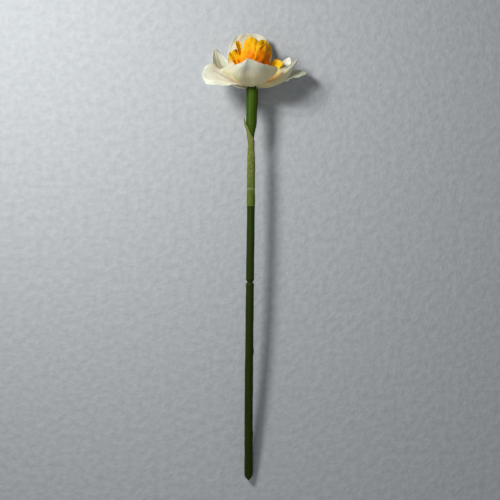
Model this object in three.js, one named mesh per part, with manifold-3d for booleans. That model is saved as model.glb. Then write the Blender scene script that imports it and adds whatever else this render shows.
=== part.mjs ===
// A cut narcissus flower lying on a flat surface. Millimetres, +Z up, the stem along +Y.
// The stem rises from its cut end in a long arch and carries the flower head clear of the
// surface. The cut end and the low tepals of the head are what it rests on.
import * as THREE from "three";
import { mergeVertices } from "three/addons/utils/BufferGeometryUtils.js";
import Module from "manifold-3d";

const wasm = await Module();
wasm.setup();

// Clearance between pieces that touch
const GAP = 0.3;

// Middle line of the stem and of the flower stalk, as a function of the place along Y
const CUT_HEIGHT = 3.2;
const ARCH_HEIGHT = 26;
const ARCH_POWER = 2.2;
const SHEATH_FOOT = 237.3;
const HEAD = new THREE.Vector3(3.2, 337.7, 25);

// The line's sideways leans, and where it dips from the arch to the head's height
const CUT_ASIDE = 0.55;
const LEANS = [{ from: 30, to: 300, by: 2.25 }, { from: 295, to: 330, by: 0.4 }];
const DIP = { from: 260, to: 320 };

// Stem
const STEM_RADIUS = { cut: 3.65, top: 3.35 };
const STEM_SIDES = 20;
const STEM_STEP = 7;
const NICK = { place: 172.8, reach: 1.7, depth: 0.3 };
const CUT_RISE = { right: 4.4, left: 3.4 };

// Flower stalk: thin inside the sheath, swollen into the green neck above it, and ending in
// the receptacle that the tepals and the corona stand on. Pairs of place and radius.
const STALK_OUTLINE = [
  [SHEATH_FOOT + GAP, 2.45], [277, 2.35], [286, 1.9], [291, 1.95], [294, 2.3], [297, 2.7],
  [300, 3.15], [303, 3.8], [306, 4.4], [311, 4.65], [318, 4.65], [333, 4.75], [336.6, 4.75],
  [337, 3.7], [343.8, 3.7],
];
const STALK_SIDES = 20;

// The neck swells to the right below the head and draws in again at the receptacle
const NECK_SWELL = { from: 314, to: 332, by: 0.7, end: 336.6 };

// Sheath: the papery leaf rolled round the stalk, its slanted mouth rising to a free tip
const SHEATH_WALL = 0.6;
const SHEATH_PLAY = 0.32;
const MOUTH = { low: 290.5, rise: 22, narrow: 60, tipAngle: 158 };
const MOUTH_FLARE = { from: 300, to: 313, by: 1.4 };
const SHEATH_ROUND = 24;
const SHEATH_ROWS = { count: 10, spread: 0.6 };

// Blades of the flower head. A rib is a cubic curve through flower coordinates: the angle
// round the axis in degrees (0 to +X, 90 straight up), the distance from the axis and the
// height along it. half is the greatest half width, at the share peak of the length, blunt
// the share of it left at the tip, and point how far the tip is drawn out. A higher slow keeps
// the blade narrow for longer. cup is the curvature across the blade, and twist turns it about
// its rib, in degrees at foot and tip. wave is the height of the ruffles on its margins, or of
// one margin's where the other has otherWave, waves is their count and phase their start. fold
// lifts the two margins towards the face.
const TEPALS = {
  tepal_front: {
    rib: [[96, 4.5, 0.35], [95, 16, -0.9], [93, 31, 6.5], [95, 41, 16.5]],
    half: 24, peak: 0.47, point: 1, slow: 2, cup: 0.02, twist: [4, -10], wave: 0.3,
    otherWave: 1.6, waves: 1.5, phase: 1.56, fold: [3.4, 1.5],
  },
  tepal_left: {
    rib: [[159.7, 4.4, 1.2], [160.6, 16, 4.4], [161, 30, 8.4], [164, 43, 8.7]],
    half: 17.5, peak: 0.7, cup: 0.006, twist: [16.1, 47], wave: 0.7, waves: 2.4, phase: 1.2,
    fold: [1.65, 0.2],
  },
  tepal_left_low: {
    rib: [[216, 4.4, -0.4], [217, 18, 0.5], [216, 35, 14.8], [215, 38.5, 38.8]],
    half: 15.6, peak: 0.55, point: 0.8, cup: 0.021, twist: [3, 11], wave: 0.8, waves: 2.6,
    phase: 1, fold: [0, 2.4],
  },
  tepal_back: {
    rib: [[265, 4.4, 1.9], [265, 24, 9], [264, 22, 34], [262, 12, 49]],
    half: 20, peak: 0.6, blunt: 0.5, cup: 0.02, twist: [0, 0], wave: 1, waves: 3, phase: 0,
  },
  tepal_right: {
    rib: [[321.5, 4.4, 0], [322.2, 16, 2.6], [328, 37, 19.5], [350.5, 47, 12.5]],
    half: 14, peak: 0.5, point: 0.3, cup: 0.012, twist: [1, -40], wave: 0.8, waves: 2.4,
    phase: 3, fold: [0.3, 0],
  },
  tepal_right_front: {
    rib: [[34.6, 4.4, 1.7], [29.4, 20, 1.8], [22, 36, 7], [12, 39.5, 23]],
    half: 8.2, peak: 0.42, point: 0.8, cup: 0.03, twist: [31.8, -5], wave: 0.7, waves: 2.2,
    phase: 1.6, fold: [3.4, 0.2],
  },
};
const TEPAL_MAKE = { claw: 2.4, thick: 0.7, rows: 14, columns: 12 };

// Ruffles grow towards the margin by a power and start between two shares of the length. The
// other margin's are shifted in phase. Folds start at a share of the half width.
const RUFFLE = { power: 2.5, from: 0.1, to: 0.4, shift: 1.9 };
const FOLD_FROM = 0.5;

// How gradually a blade flattens where it is pressed against the surface, and the height
// under which it lies flat on it
const PRESS_REACH = 1.2;
const LIES_FLAT = 0.25;

// White petal-like lobe standing beside the corona
const INNER_TEPAL = {
  rib: [[338, 4.05, 5], [344, 18, 7.5], [349, 27, 12], [356, 32.5, 26.5]],
  half: 6, peak: 0.7, point: 0.4, cup: 0.06, twist: [0, -70], wave: 0.4, waves: 1.5, phase: 0,
};

// Corona: a short cup split into ruffled lobes. The lobes that show are placed one by one.
const CUP_PROFILE = [
  [0, 6.4], [3.9, 6.4], [6, 7.8], [8.6, 12], [9.6, 16], [8.7, 16.2], [7.7, 12.6], [5.2, 9],
  [3.2, 7.8], [0, 7.8],
];
const CUP_SIDES = 20;
const CORONA_LOBES = {
  crest: {
    rib: [[92, 5.6, 8.3], [90, 14, 15], [90, 15, 31], [92, 7, 41.5]],
    half: 7.5, peak: 0.72, blunt: 0.5, cup: 0.1, twist: [0, 0], wave: 0.9, waves: 3, phase: 1,
  },
  crestRight: {
    rib: [[48, 5.6, 8.3], [48, 12, 16], [46, 15, 28], [42, 14, 38.5]],
    half: 7, peak: 0.78, blunt: 0.7, cup: 0.07, twist: [0, 12], wave: 1.1, waves: 3, phase: 0,
  },
  frontFold: {
    rib: [[74, 5.6, 8.3], [64, 15, 12], [50, 20, 23], [50, 18, 34]],
    half: 9, peak: 0.55, blunt: 0.3, cup: 0.05, twist: [0, -12], wave: 0.9, waves: 2.5, phase: 2,
  },
  rightEdge: {
    rib: [[18, 5.6, 8.3], [18, 14, 14], [20, 16, 26], [23, 16, 36.5]],
    half: 6.5, peak: 0.7, blunt: 0.5, cup: 0.1, twist: [0, 10], wave: 0.8, waves: 2.5, phase: 3,
  },
  rightTongue: {
    rib: [[10, 5.6, 8.3], [9, 15, 9], [8, 19, 14], [8, 23.5, 23]],
    half: 6.5, peak: 0.72, blunt: 0.6, cup: 0.07, twist: [-20, -75], wave: 0.8, waves: 2.5,
    phase: 1,
  },
  leftFan: {
    rib: [[163, 5.6, 8.3], [165, 11, 14], [167, 14, 22], [172, 17.5, 30.5]],
    half: 5.5, peak: 0.72, blunt: 0.5, cup: 0.06, twist: [20, 75], wave: 1, waves: 3, phase: 0.5,
  },
  spoon: {
    rib: [[150, 5.6, 8.3], [146, 11, 18], [150, 12, 30], [158, 13.5, 39]],
    half: 3.1, peak: 0.86, blunt: 0.5, cup: 0.16, twist: [0, 85], wave: 0.2, waves: 2, phase: 0,
    slow: 7,
  },
  leftFrill: {
    rib: [[128, 5.6, 8.3], [128, 12, 13], [130, 13, 21], [134, 11.5, 29]],
    half: 4.6, peak: 0.75, blunt: 0.6, cup: 0.08, twist: [0, 12], wave: 1, waves: 3, phase: 2,
  },
};
const LOBE_MAKE = { claw: 1.8, thick: 0.8, rows: 8, columns: 7 };

// Lobes on the far side and in the middle of the corona, set out by rule. Each differs from
// the next by up to half of what LOBE_DRIFT gives: degrees for turn, lean and twist, shares of
// its size for height, reach and half.
const LOBE_RINGS = [
  { count: 4, from: 208, step: 38, reach: 15.8, height: 35, half: 6.4 },
  { count: 5, from: 20, step: 72, reach: 8.9, height: 30, half: 5.6 },
  { count: 3, from: 70, step: 120, reach: 3.8, height: 27, half: 3.6 },
];
const LOBE_DRIFT = { turn: 16, height: 0.2, reach: 0.48, half: 0.2, lean: 30, twist: 50, phase: 6 };
const LOBE_FOOT = { reach: 5.6, height: 8.3 };
const LOBE_BEND = { low: 14, high: 0.7 };
const LOBE_SEED = 11;

const LOOKS = {
  stem: { color: 0x2f4a14, roughness: 0.45, metalness: 0 },
  stalk: { color: 0x3c5a18, roughness: 0.4, metalness: 0 },
  sheath: { color: 0x747a42, roughness: 0.7, metalness: 0 },
  tepal: { color: 0xe2ddc4, roughness: 0.55, metalness: 0 },
  corona: { color: 0xf0a020, roughness: 0.5, metalness: 0 },
};

function smoothstep(low, high, x) {
  const t = THREE.MathUtils.clamp((x - low) / (high - low), 0, 1);
  return t * t * (3 - 2 * t);
}

// Straight lines between pairs of place and value
function along(pairs, place) {
  const next = pairs.findIndex(([at]) => at >= place);
  if (next < 0) return pairs[pairs.length - 1][1];
  if (next === 0) return pairs[0][1];
  const [low, a] = pairs[next - 1];
  const [high, b] = pairs[next];
  return THREE.MathUtils.mapLinear(place, low, high, a, b);
}

// Keeps a height above a floor, with a rounded change over the given reach
function pressed(height, floor, reach) {
  const overlap = Math.max(reach - Math.abs(height - floor), 0) / reach;
  return Math.max(height, floor) + (overlap * overlap * reach) / 4;
}

function seeded(seed) {
  let state = seed;
  return () => {
    state = (state * 1664525 + 1013904223) % 4294967296;
    return state / 4294967296;
  };
}

function meshOf(name, geometry, look) {
  geometry.computeVertexNormals();
  const mesh = new THREE.Mesh(geometry, new THREE.MeshStandardMaterial(look));
  mesh.name = name;
  return mesh;
}

function geometryOf(points, triangles) {
  const geometry = new THREE.BufferGeometry();
  const numbers = points.flatMap((point) => point.toArray());
  geometry.setAttribute("position", new THREE.Float32BufferAttribute(numbers, 3));
  geometry.setIndex(triangles);
  return geometry;
}

function solidOf(geometry) {
  const bare = geometry.clone();
  bare.deleteAttribute("normal");
  bare.deleteAttribute("uv");
  const merged = mergeVertices(bare, 1e-4);
  const mesh = new wasm.Mesh({
    numProp: 3,
    vertProperties: merged.attributes.position.array,
    triVerts: new Uint32Array(merged.index.array),
  });
  return new wasm.Manifold(mesh);
}

function geometryFrom(solid) {
  const mesh = solid.getMesh();
  const geometry = new THREE.BufferGeometry();
  geometry.setAttribute("position", new THREE.BufferAttribute(mesh.vertProperties, 3));
  geometry.setIndex(new THREE.BufferAttribute(mesh.triVerts, 1));
  return geometry;
}

function middleLine(y) {
  const x = LEANS.reduce((sum, { from, to, by }) => sum + by * smoothstep(from, to, y), CUT_ASIDE);
  const share = THREE.MathUtils.clamp(1 - y / SHEATH_FOOT, 0, 1);
  const arch = ARCH_HEIGHT - (ARCH_HEIGHT - CUT_HEIGHT) * share ** ARCH_POWER;
  const dip = (ARCH_HEIGHT - HEAD.z) * smoothstep(DIP.from, DIP.to, y);
  return new THREE.Vector3(x, y, arch - dip);
}

// The point at a place along the middle line, at a radius and angle round it: 0 to +X, 90 up
function roundLine(y, radius, angle) {
  const middle = middleLine(y);
  const ahead = middleLine(y + 1).sub(middleLine(y - 1)).normalize();
  const across = new THREE.Vector3(1, 0, 0).addScaledVector(ahead, -ahead.x).normalize();
  const up = new THREE.Vector3().crossVectors(across, ahead);
  return middle
    .addScaledVector(across, radius * Math.cos(angle))
    .addScaledVector(up, radius * Math.sin(angle));
}

// A closed solid through rings of equal count, each end closed by a fan about its middle
function loft(rings) {
  const sides = rings[0].length;
  const points = rings.flat();
  const triangles = [];
  for (let i = 0; i < rings.length - 1; i += 1) {
    for (let j = 0; j < sides; j += 1) {
      const a = i * sides + j;
      const b = i * sides + ((j + 1) % sides);
      triangles.push(a, a + sides, b, b, a + sides, b + sides);
    }
  }
  const middleOf = (ring) => ring
    .reduce((sum, point) => sum.add(point), new THREE.Vector3())
    .divideScalar(sides);
  const first = points.push(middleOf(rings[0])) - 1;
  const last = points.push(middleOf(rings[rings.length - 1])) - 1;
  const top = (rings.length - 1) * sides;
  for (let j = 0; j < sides; j += 1) {
    const next = (j + 1) % sides;
    triangles.push(first, j, next, last, top + next, top + j);
  }
  return geometryOf(points, triangles);
}

function ring(sides, pointAt) {
  return Array.from({ length: sides }, (_, j) => pointAt((2 * Math.PI * j) / sides));
}

function stemRadius(y) {
  const nick = NICK.depth * Math.max(0, 1 - Math.abs(y - NICK.place) / NICK.reach);
  return THREE.MathUtils.lerp(STEM_RADIUS.cut, STEM_RADIUS.top, y / SHEATH_FOOT) * (1 - nick);
}

// The cut end slants back on both sides of a ridge, and is pressed flat on the surface
function stem() {
  const count = Math.round(SHEATH_FOOT / STEM_STEP);
  const places = Array.from({ length: count + 1 }, (_, i) => (SHEATH_FOOT * i) / count)
    .filter((y) => Math.abs(y - NICK.place) > NICK.reach + 1)
    .concat([-1, 0, 1].map((side) => NICK.place + side * NICK.reach))
    .sort((a, b) => a - b);
  const rings = places.map((y, i) => ring(STEM_SIDES, (angle) => {
    const side = Math.cos(angle);
    const rise = side > 0 ? CUT_RISE.right * side : -CUT_RISE.left * side;
    const point = roundLine(i === 0 ? y + rise : y, stemRadius(y), angle);
    return point.setZ(Math.max(point.z, 0));
  }));
  return meshOf("stem", loft(rings), LOOKS.stem);
}

function flowerStalk() {
  const { from, to, by, end } = NECK_SWELL;
  const rings = STALK_OUTLINE.map(([y, radius]) => ring(STALK_SIDES, (angle) => {
    const swell = y > end ? 0 : by * smoothstep(from, to, y) * Math.max(Math.cos(angle), 0);
    return roundLine(y, radius + swell, angle);
  }));
  return meshOf("flower_stalk", loft(rings), LOOKS.stalk);
}

function sheathMouth(angle) {
  const apart = Math.abs(THREE.MathUtils.radToDeg(angle) - MOUTH.tipAngle);
  return MOUTH.low + MOUTH.rise * Math.exp(-Math.min(apart, 360 - apart) / MOUTH.narrow);
}

// A tube with two skins, its foot a level ring and its mouth following sheathMouth
function sheath() {
  const foot = SHEATH_FOOT + GAP;
  const { count, spread } = SHEATH_ROWS;
  const rows = Array.from({ length: count + 1 }, (_, i) => (i / count) ** spread);
  const skin = (share, thickness) => ring(SHEATH_ROUND, (angle) => {
    const y = foot + share * (sheathMouth(angle) - foot);
    const flare = MOUTH_FLARE.by * smoothstep(MOUTH_FLARE.from, MOUTH_FLARE.to, y);
    return roundLine(y, along(STALK_OUTLINE, y) + SHEATH_PLAY + flare + thickness, angle);
  });
  const outer = rows.map((share) => skin(share, SHEATH_WALL));
  const inner = rows.map((share) => skin(share, 0)).reverse();
  const loop = [...outer, ...inner];
  const points = loop.flat();
  const triangles = [];
  loop.forEach((_, i) => {
    const here = i * SHEATH_ROUND;
    const above = ((i + 1) % loop.length) * SHEATH_ROUND;
    for (let j = 0; j < SHEATH_ROUND; j += 1) {
      const next = (j + 1) % SHEATH_ROUND;
      triangles.push(here + j, above + j, here + next, here + next, above + j, above + next);
    }
  });
  return meshOf("sheath", geometryOf(points, triangles), LOOKS.sheath);
}

function fromFlower([degrees, radius, height]) {
  const angle = THREE.MathUtils.degToRad(degrees);
  return new THREE.Vector3(radius * Math.cos(angle), height, radius * Math.sin(angle));
}

// Rounded off past the widest place, or drawn to a point by the share that point gives
function halfWidth({ half, peak, blunt = 0.1, slow = 0.85, point = 0 }, claw, t) {
  if (t < peak) {
    return claw + (half - claw) * Math.sin((Math.PI / 2) * (t / peak)) ** slow;
  }
  const past = (t - peak) / (1 - peak);
  const rounded = Math.sqrt(1 - (1 - blunt * blunt) * past * past);
  const pointed = Math.max(Math.cos((Math.PI / 2) * past), blunt * 0.5);
  return half * THREE.MathUtils.lerp(rounded, pointed, point);
}

// The middle surface of a blade: t runs from foot to tip, u across it from -1 to 1
function bladePoint(spec, make, t, u) {
  const curve = new THREE.CubicBezierCurve3(...spec.rib.map(fromFlower));
  const ahead = curve.getTangent(t);
  const angle = THREE.MathUtils.degToRad(THREE.MathUtils.lerp(spec.rib[0][0], spec.rib[3][0], t));
  const round = new THREE.Vector3(-Math.sin(angle), 0, Math.cos(angle));
  const across = round.addScaledVector(ahead, -round.dot(ahead)).normalize();
  const face = new THREE.Vector3().crossVectors(across, ahead);
  const twist = THREE.MathUtils.degToRad(THREE.MathUtils.lerp(spec.twist[0], spec.twist[1], t));
  across.applyAxisAngle(ahead, -twist);
  face.applyAxisAngle(ahead, -twist);
  const reach = u * halfWidth(spec, make.claw, t);
  const margin = Math.abs(u) ** RUFFLE.power * smoothstep(RUFFLE.from, RUFFLE.to, t);
  const beat = 2 * Math.PI * spec.waves * t + spec.phase + (u > 0 ? 0 : RUFFLE.shift);
  const wave = u > 0 ? spec.wave : spec.otherWave ?? spec.wave;
  const ruffle = wave * margin * Math.sin(beat);
  const [plus, minus] = spec.fold ?? [0, 0];
  const folded = smoothstep(FOLD_FROM, 1, Math.abs(u)) * Math.sin(Math.PI * t);
  const lift = (1 - Math.cos(spec.cup * reach)) / spec.cup + ruffle + folded * (u > 0 ? plus : minus);
  const point = curve.getPoint(t)
    .addScaledVector(across, Math.sin(spec.cup * reach) / spec.cup)
    .addScaledVector(face, lift);
  const height = pressed(point.z + HEAD.z, make.thick / 2, PRESS_REACH);
  return point.setZ(height - HEAD.z);
}

// A blade of even thickness, its two faces split into triangles alike
function blade(spec, make) {
  const { rows, columns, thick } = make;
  const step = 0.01;
  const skins = [[], []];
  for (let i = 0; i <= rows; i += 1) {
    const share = (2 * i) / rows;
    const t = share < 1
      ? spec.peak * share
      : spec.peak + (1 - spec.peak) * Math.sin((Math.PI / 2) * (share - 1));
    for (let j = 0; j <= columns; j += 1) {
      const u = (2 * j) / columns - 1;
      const at = (dt, du) => bladePoint(
        spec, make, THREE.MathUtils.clamp(t + dt, 0, 1), THREE.MathUtils.clamp(u + du, -1, 1),
      );
      const ahead = at(step, 0).sub(at(-step, 0));
      const across = at(0, step).sub(at(0, -step));
      const normal = across.cross(ahead).normalize();
      [1, -1].forEach((side, k) => {
        const point = at(0, 0).addScaledVector(normal, (side * thick) / 2);
        skins[k].push(point.z + HEAD.z < LIES_FLAT ? point.setZ(-HEAD.z) : point);
      });
    }
  }
  const width = columns + 1;
  const under = skins[0].length;
  const triangles = [];
  for (let i = 0; i < rows; i += 1) {
    for (let j = 0; j < columns; j += 1) {
      const a = i * width + j;
      const quad = [[a, a + 1, a + width], [a + 1, a + width + 1, a + width]];
      quad.forEach(([p, q, r]) => triangles.push(p, q, r, p + under, r + under, q + under));
    }
  }
  const rim = [
    ...Array.from({ length: columns }, (_, j) => j),
    ...Array.from({ length: rows }, (_, i) => i * width + columns),
    ...Array.from({ length: columns }, (_, j) => rows * width + columns - j),
    ...Array.from({ length: rows }, (_, i) => (rows - i) * width),
  ];
  rim.forEach((here, i) => {
    const next = rim[(i + 1) % rim.length];
    triangles.push(here, here + under, next, next, here + under, next + under);
  });
  return geometryOf([...skins[0], ...skins[1]], triangles);
}

// Lobe shapes for the far side and the middle, each a little different
function ruledLobes() {
  const draw = seeded(LOBE_SEED);
  const drift = (name) => LOBE_DRIFT[name] * (draw() - 0.5);
  return LOBE_RINGS.flatMap(({ count, from, step, reach, height, half }) => (
    Array.from({ length: count }, (_, i) => {
      const angle = from + step * i + drift("turn");
      const top = height * (1 + drift("height"));
      const out = reach * (1 + drift("reach"));
      return {
        rib: [
          [angle, Math.min(LOBE_FOOT.reach, reach), LOBE_FOOT.height], [angle, out, LOBE_BEND.low],
          [angle, out, top * LOBE_BEND.high], [angle + drift("lean"), out, top],
        ],
        half: half * (1 + drift("half")), peak: 0.74, blunt: 0.6, cup: 0.08,
        twist: [0, drift("twist")], wave: 1.2, waves: 2.8, phase: drift("phase"),
      };
    })
  ));
}

function corona() {
  const profile = CUP_PROFILE.map(([radius, height]) => new THREE.Vector2(radius, height));
  const cup = solidOf(new THREE.LatheGeometry(profile, CUP_SIDES));
  const lobes = [...Object.values(CORONA_LOBES), ...ruledLobes()];
  const joined = lobes.reduce((sum, spec) => sum.add(solidOf(blade(spec, LOBE_MAKE))), cup);
  const [whole] = joined.decompose().sort((a, b) => b.volume() - a.volume());
  return meshOf("corona", geometryFrom(whole), LOOKS.corona);
}

function flowerHead() {
  const head = new THREE.Group();
  head.position.copy(HEAD);
  Object.entries(TEPALS).forEach(([name, spec]) => {
    head.add(meshOf(name, blade(spec, TEPAL_MAKE), LOOKS.tepal));
  });
  head.add(meshOf("inner_tepal", blade(INNER_TEPAL, LOBE_MAKE), LOOKS.tepal));
  head.add(corona());
  return head;
}

const flower = new THREE.Group();
flower.add(stem(), flowerStalk(), sheath(), flowerHead());

// The frame's origin is under the middle of the whole flower, on the surface
const box = new THREE.Box3().setFromObject(flower, true);
const centre = box.getCenter(new THREE.Vector3());
flower.position.set(-centre.x, -centre.y, -box.min.z);

export default flower;
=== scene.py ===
# A cut narcissus lying on pale paper, seen from straight above. Its forms are in millimetres
# from the cut end of its stem, as its solids' are, and in_frame makes them metres of the frame.
import math

import bpy
import numpy as np
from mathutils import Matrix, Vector


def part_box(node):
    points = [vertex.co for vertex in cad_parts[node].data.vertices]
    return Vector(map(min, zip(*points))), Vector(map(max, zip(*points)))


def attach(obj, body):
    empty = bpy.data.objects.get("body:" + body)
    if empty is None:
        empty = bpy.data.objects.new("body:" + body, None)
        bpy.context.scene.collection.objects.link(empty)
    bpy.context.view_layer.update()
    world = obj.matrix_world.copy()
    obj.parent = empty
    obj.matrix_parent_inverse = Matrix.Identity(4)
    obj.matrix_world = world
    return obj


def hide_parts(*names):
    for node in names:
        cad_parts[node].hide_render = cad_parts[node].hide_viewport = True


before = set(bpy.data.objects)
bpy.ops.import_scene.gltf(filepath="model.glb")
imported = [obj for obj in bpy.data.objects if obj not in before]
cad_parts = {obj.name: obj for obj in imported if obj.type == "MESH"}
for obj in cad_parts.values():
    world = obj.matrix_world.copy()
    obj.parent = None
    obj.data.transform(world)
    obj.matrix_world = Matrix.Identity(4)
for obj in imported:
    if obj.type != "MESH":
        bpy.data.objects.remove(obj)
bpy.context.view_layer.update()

MM = 0.001
TURN = 2 * math.pi

# Middle line of the stem and of the flower stalk, by the place along Y
CUT_HEIGHT = 3.2
ARCH_HEIGHT = 26
ARCH_POWER = 2.2
SHEATH_FOOT = 237.3
HEAD = np.array([3.2, 337.7, 25.0])

# The line's sideways leans, as start, end and amount, and its dip to the head's height
CUT_ASIDE = 0.55
LEANS = [(30, 300, 2.25), (295, 330, 0.4)]
DIP = (260, 320)

# Unevenness is a sum of waves, each of a pace between two shares of the usual one. level brings
# the sum to heights mostly from -1 to 1.
UNEVEN = {"waves": 10, "pace": (0.6, 1.6), "level": 3.2}

# Stem. The groove of its nick and the lips beside it are shares of the radius, narrower for a
# higher sharp. The wave of its ribs shifts by a radian over the length turn. A bump has a place,
# a side in degrees, a height and a reach.
STEM_RADIUS = {"cut": 3.65, "top": 3.35}
STEM_ROWS = 460
STEM_SIDES = 72
NICK = {
    "place": 172.8, "reach": 2.2, "depth": 0.3, "sharp": 2.2, "lip": 0.05, "lip_place": 1.3,
    "lip_sharp": 2.5,
}
STEM_RIBS = {"count": 14, "depth": 0.045, "turn": 60}
STEM_BUMPS = [(113.5, 0, 0.55, 2.6), (41, 0, 0.45, 2.2), (146, 160, 0.2, 4), (80, 20, 0.25, 5)]
BUMP_FOCUS = 4

# The cut slants back on both sides of a ridge. Rows of the skin that it takes away are squeezed
# to a share of their distance. Its face is dished, in rings of a share of the radius and a depth.
CUT_RISE = {"right": 4.4, "left": 3.4}
CUT_SQUEEZE = 0.02
CUT_FACE = [(0.93, 0), (0.8, 0.35), (0.66, 0.9), (0.5, 1.6)]

# Unevenness of the green skins, in layers of height, size and seed, read on a tube of one radius
SKIN_TUBE = 9
STEM_LAYERS = [(0.07, 16, 3), (0.03, 5, 4)]
STALK_LAYERS = [(0.05, 14, 7)]

# Flower stalk: thin inside the sheath, swollen into the green neck above it, and ending in the
# receptacle. Pairs of place and radius, whose steps are softened over a length.
STALK_OUTLINE = [
    (SHEATH_FOOT + 0.3, 2.45), (277, 2.35), (286, 1.9), (291, 1.95), (294, 2.3), (297, 2.7),
    (300, 3.15), (303, 3.8), (306, 4.4), (311, 4.65), (318, 4.65), (333, 4.75), (336.6, 4.75),
    (337, 3.7), (343.8, 3.7),
]
STALK_ROWS = 320
STALK_SIDES = 64
STALK_SOFT = 0.25

# The neck swells to the right below the head and draws in again at the receptacle. Its widest
# place is HEAD's middle line and this reach. Above the sheath it is very slightly three-sided.
NECK_SWELL = {"start": 314, "full": 332, "by": 0.7, "end": 336.6}
NECK_REACH = 4.75 + NECK_SWELL["by"]
THREE_SIDED = {"by": 0.05, "turn": 0.6, "start": 303, "full": 315}

# Sheath: the papery leaf rolled round the stalk, its slanted mouth rising to a free tip. Its rows
# are closer together towards the mouth, by a power.
SHEATH_WALL = 0.6
SHEATH_INSIDE = 0.18
SHEATH_PLAY = 0.32
MOUTH = {"low": 290.5, "rise": 22, "narrow": 60, "tip_angle": 158}
MOUTH_FLARE = {"start": 300, "full": 313, "by": 1.4}
SHEATH_ROWS = 150
SHEATH_ROUND = 120
SHEATH_CLOSER = 0.8

# Its crinkles and its ragged mouth, in layers of height, size and seed, read on a tube and on a
# ring. A shorter tube draws the crinkles out along the sheath. On the inner skin they rise from
# nothing at the foot over a share of its length.
CRINKLE_LAYERS = [(0.1, 4.5, 8), (0.04, 1.6, 9)]
CRINKLE_TUBE = {"radius": 5, "shorter": 3}
RAGGED_LAYERS = [(0.5, 1.7, 21)]
RAGGED_RING = 4
EVEN_FOOT = 0.2

# Raised nerves that run up the sheath and die out below its mouth, at stop or from the share
# shortest of it on. They are scattered round the sheath and stray aside in a few bends. thin is
# the least share of their swelling, at both ends.
NERVES = {
    "count": 19, "points": 60, "sides": 8, "radius": 0.17, "thin": 0.04, "scatter": 0.1,
    "first": 0.01, "stop": 0.96, "shortest": 0.75, "stray": 0.05, "bends": (3, 9), "shift": 7,
    "seed": 5,
}

# Blades of the flower head. A rib is a cubic curve. Its points give the angle round the axis in
# degrees (0 to +X, 90 straight up), the distance from the axis and the height along it. half
# is the greatest half width, at the share peak of the length, blunt the share of it left at
# the tip, and point how far the tip is drawn out. A higher slow keeps the blade narrow for
# longer. cup is the curvature across the blade, and twist turns it about its rib, in degrees
# at foot and tip. wave is the height of the ruffles on its margins, or on one where the other
# has other_wave, waves is their count and phase their start. fold lifts the two margins.
# The tone lays painted shade on the blade: a tan tint warmed by the corona's light, or a
# painted grey-green shadow below 0. At full tone it adds a patch of painted orange corona light.
TEPALS = {
    "tepal_front": dict(
        rib=[(96, 4.5, 0.35), (95, 16, -0.9), (93, 31, 6.5), (95, 41, 16.5)], half=24, peak=0.47,
        point=1, slow=2, cup=0.02, twist=(4, -10), wave=0.3, other_wave=1.6, waves=1.5,
        phase=1.56, fold=(3.4, 1.5), tone_and_shade=0.75,
    ),
    "tepal_left": dict(
        rib=[(159.7, 4.4, 1.2), (160.6, 16, 4.4), (161, 30, 8.4), (164, 43, 8.7)], half=17.5,
        peak=0.7, cup=0.006, twist=(16.1, 47), wave=0.7, waves=2.4, phase=1.2, fold=(1.65, 0.2),
    ),
    "tepal_left_low": dict(
        rib=[(216, 4.4, -0.4), (217, 18, 0.5), (216, 35, 14.8), (215, 38.5, 38.8)], half=15.6,
        peak=0.55, point=0.8, cup=0.021, twist=(3, 11), wave=0.8, waves=2.6, phase=1,
        fold=(0, 2.4),
    ),
    "tepal_back": dict(
        rib=[(265, 4.4, 1.9), (265, 24, 9), (264, 22, 34), (262, 12, 49)], half=20, peak=0.6,
        blunt=0.5, cup=0.02, wave=1, waves=3, phase=0,
    ),
    "tepal_right": dict(
        rib=[(321.5, 4.4, 0), (322.2, 16, 2.6), (328, 37, 19.5), (350.5, 47, 12.5)], half=14,
        peak=0.5, point=0.3, cup=0.012, twist=(1, -40), wave=0.8, waves=2.4, phase=3,
        fold=(0.3, 0), tone_and_shade=-1,
    ),
    "tepal_right_front": dict(
        rib=[(34.6, 4.4, 1.7), (29.4, 20, 1.8), (22, 36, 7), (12, 39.5, 23)], half=8.2, peak=0.42,
        point=0.8, cup=0.03, twist=(31.8, -5), wave=0.7, waves=2.2, phase=1.6, fold=(3.4, 0.2),
        tone_and_shade=1,
    ),
}
TEPAL_SEEDS = 10

# White petal-like lobe standing beside the corona
INNER_TEPAL = dict(
    rib=[(338, 4.05, 5), (344, 18, 7.5), (349, 27, 12), (356, 32.5, 26.5)], half=6, peak=0.7,
    point=0.4, cup=0.06, twist=(0, -70), wave=0.4, waves=1.5, phase=0,
)
INNER_SEED = 70

# What a blade has where it doesn't say otherwise
BLADE_PLAIN = dict(blunt=0.1, point=0, slow=0.85, twist=(0, 0), fold=(0, 0), tone_and_shade=0)

# How blades are made: claw is the half width at the foot, and thick the solid's thickness, of
# which body and rim are left in the middle and at the margin. round draws the tip's corners
# back. vein, pleat, dent and crinkle are heights. veins and pleats count the radians of their
# waves from the rib to the margin. The sizes are those of the unevenness.
TEPAL_MAKE = dict(
    claw=2.4, thick=0.7, rows=110, columns=96, body=0.75, rim=0.4, round=0.05, vein=0.035,
    veins=44, pleat=0.3, pleats=9, dent=0.3, dent_size=18, crinkle=0.3, crinkle_size=7,
)
INNER_MAKE = dict(
    TEPAL_MAKE, claw=1.8, rows=70, columns=36, veins=20, pleats=5, dent=0.15, dent_size=8,
    crinkle=0.2,
)
LOBE_MAKE = dict(
    claw=1.8, thick=0.8, rows=46, columns=32, body=0.8, rim=0.5, round=0.06, vein=0.025,
    veins=16, pleat=0.3, pleats=6, dent=0.35, dent_size=7, crinkle=0.4, crinkle_size=4,
)

# A pointed tip ends in a share of its blunt width. Margins thin by a power, and a tip's corners
# are drawn back by one, from a share of the length on. Normals are taken over a step.
POINT_END = 0.5
RIM_POWER = 3
CORNERS = {"power": 4, "start": 0.6}
NORMAL_STEP = 0.004

# How gradually a blade flattens where it is pressed against the surface
PRESS_REACH = 1.2

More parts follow.
